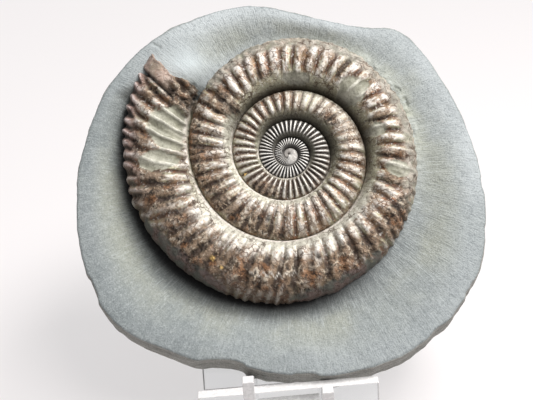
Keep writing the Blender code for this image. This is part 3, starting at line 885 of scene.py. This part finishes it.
def makeAcrylicMaterial():
    material, tree, shader = newMaterial("clearAcrylic")
    coords = addNode(tree, "ShaderNodeTexCoord").outputs["Object"]
    smears = noiseValue(tree, coords, 90.0, 3.0, 0.5)
    tree.links.new(ramp(tree, smears, 0.35, 0.75, 0.02, 0.10), shader.inputs["Roughness"])
    shader.inputs["Base Color"].default_value = (*stand["tint"], 1.0)
    shader.inputs["Transmission Weight"].default_value = 1.0
    shader.inputs["IOR"].default_value = 1.49
    return material


def makeCutEdgeMaterial():
    # laser-cut edges gather light and look white
    material, tree, shader = newMaterial("cutAcrylicEdge")
    coords = addNode(tree, "ShaderNodeTexCoord").outputs["Object"]
    lines = noiseValue(tree, coords, 900.0, 2.0, 0.5)
    color = mixColor(tree, ramp(tree, lines, 0.35, 0.65), (0.55, 0.54, 0.54), (0.61, 0.60, 0.60))
    tree.links.new(color, shader.inputs["Base Color"])
    tree.links.new(ramp(tree, lines, 0.3, 0.7, 0.18, 0.34), shader.inputs["Roughness"])
    return material


def buildPlate(node, name, materials):
    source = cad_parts[node]
    mesh = source.data.copy()
    mesh.materials.clear()
    for material in materials:
        mesh.materials.append(material)
    piece = bpy.data.objects.new(name, mesh)
    bpy.context.scene.collection.objects.link(piece)
    areas = {}
    for face in mesh.polygons:                      # the two broad faces are clear, the rest are cut edges
        key = tuple(round(abs(value), 2) for value in face.normal)
        areas[key] = areas.get(key, 0.0) + face.area
    broad = Vector(max(areas, key=areas.get))
    for face in mesh.polygons:
        flat = Vector([abs(value) for value in face.normal]).dot(broad) > 0.98
        face.material_index = 0 if flat else 1
    weld = piece.modifiers.new("weld", "WELD")
    weld.merge_threshold = stand["weldGap"] * mm
    bevel = piece.modifiers.new("edges", "BEVEL")
    bevel.width = stand["edgeRound"] * mm
    bevel.segments = stand["edgeSegments"]
    bevel.limit_method = "ANGLE"
    bevel.angle_limit = math.radians(stand["edgeAngle"])
    bevel.material = 1
    piece.visible_shadow = False                    # clear sheet lets the light through
    return piece


acrylic, cutEdge = makeAcrylicMaterial(), makeCutEdgeMaterial()
plates = dict(stand_side_left="sideLeft", stand_side_right="sideRight", stand_front_lip="frontLip",
              stand_back_plate="backPlate", stand_spacer="spacer")
for node, name in plates.items():
    plate = buildPlate(node, name, [acrylic, cutEdge])
    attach(plate, "root")
    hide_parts(node)
print("stand:", len(plates), "plates")


studio = dict(
    floorColor=(0.23, 0.215, 0.217), floorGlow=0.60, glowColor=(1.0, 0.975, 0.972), backdrop=0.90,
    skyColor=(0.95, 0.97, 1.0), skyHigh=0.62, skyLow=0.05, skyToward=(0.25, 0.35, 0.90),
    sunFrom=(0.40, -0.45, 0.80), sunStrength=2.3, sunSize=22.0, sunColor=(1.0, 0.985, 0.96),
    keyToward=(0.50, -0.06, 0.86), keyDistance=0.40, keySize=0.20, keyPower=2.3,
    cameraElevation=28.0, cameraDistance=0.283, cameraRoll=5.0, lens=70.0,
    aimFromAxis=(-7.36, -13.62, 0.0), floorReach=3.0,
)


def placeAimed(name, data, place, backward):
    # an object whose own -Z looks away from backward
    thing = bpy.data.objects.new(name, data)
    bpy.context.scene.collection.objects.link(thing)
    thing.location = place
    thing.rotation_mode = "QUATERNION"
    thing.rotation_quaternion = (-backward).to_track_quat("-Z", "Y")
    return thing


def addFloor():
    material, _, shader = newMaterial("paleFloor")
    shader.inputs["Base Color"].default_value = (*studio["floorColor"], 1.0)
    shader.inputs["Roughness"].default_value = 0.7
    shader.inputs["Emission Color"].default_value = (*studio["glowColor"], 1.0)
    shader.inputs["Emission Strength"].default_value = studio["floorGlow"]
    corners = np.array([(-1, -1, 0), (1, -1, 0), (1, 1, 0), (-1, 1, 0)]) * studio["floorReach"]
    floor = makeMesh("floor", corners, [(0, 1, 2, 3)], {}, [material])


def addSun():
    data = bpy.data.lights.new("sun", "SUN")
    data.energy = studio["sunStrength"]
    data.angle = math.radians(studio["sunSize"])
    data.color = studio["sunColor"]
    placeAimed("sun", data, (0.0, 0.0, 0.0), Vector(studio["sunFrom"]))


def addKey(target):
    data = bpy.data.lights.new("key", "AREA")
    data.shape = "DISK"
    data.size = studio["keySize"]
    data.energy = studio["keyPower"]
    data.color = studio["sunColor"]
    toward = Vector(studio["keyToward"]).normalized()
    placeAimed("key", data, target + toward * studio["keyDistance"], toward)


def addSky():
    # a soft sky, bright above and behind, dim in front and below
    world = bpy.data.worlds.new("studio")
    world.use_nodes = True
    bpy.context.scene.world = world
    tree = world.node_tree
    direction = addNode(tree, "ShaderNodeTexCoord").outputs["Generated"]
    toward = Vector(studio["skyToward"]).normalized()
    facing = addNode(tree, "ShaderNodeVectorMath", {0: direction, 1: tuple(toward)}, operation="DOT_PRODUCT")
    bright = ramp(tree, facing.outputs["Value"], -0.15, 0.85, studio["skyLow"], studio["skyHigh"])
    paths = addNode(tree, "ShaderNodeLightPath").outputs
    seen = mathNode(tree, "MAXIMUM", paths["Is Camera Ray"], paths["Is Transmission Ray"])
    shown = mathNode(tree, "ADD", mathNode(tree, "MULTIPLY", bright, mathNode(tree, "SUBTRACT", 1.0, seen)),
                     mathNode(tree, "MULTIPLY", seen, studio["backdrop"]))
    tree.links.new(shown, tree.nodes["Background"].inputs["Strength"])
    tree.nodes["Background"].inputs["Color"].default_value = (*studio["skyColor"], 1.0)


def addCamera(target):
    data = bpy.data.cameras.new("camera")
    data.lens = studio["lens"]
    data.sensor_width = 36.0
    data.clip_start, data.clip_end = 0.01, 20.0
    lift = math.radians(studio["cameraElevation"])
    back = Vector((0.0, -math.cos(lift), math.sin(lift)))
    camera = placeAimed("camera", data, target + back * studio["cameraDistance"], back)
    roll = Matrix.Rotation(math.radians(-studio["cameraRoll"]), 4, "Z").to_quaternion()
    camera.rotation_quaternion = camera.rotation_quaternion @ roll
    bpy.context.scene.camera = camera


addSky()
addFloor()
addSun()
addKey(Vector(toFrame(0.0, 0.0, 0.0)))
addCamera(Vector(toFrame(*studio["aimFromAxis"])))
bpy.context.scene.view_settings.view_transform = "Standard"
print("floor, light and camera are set")
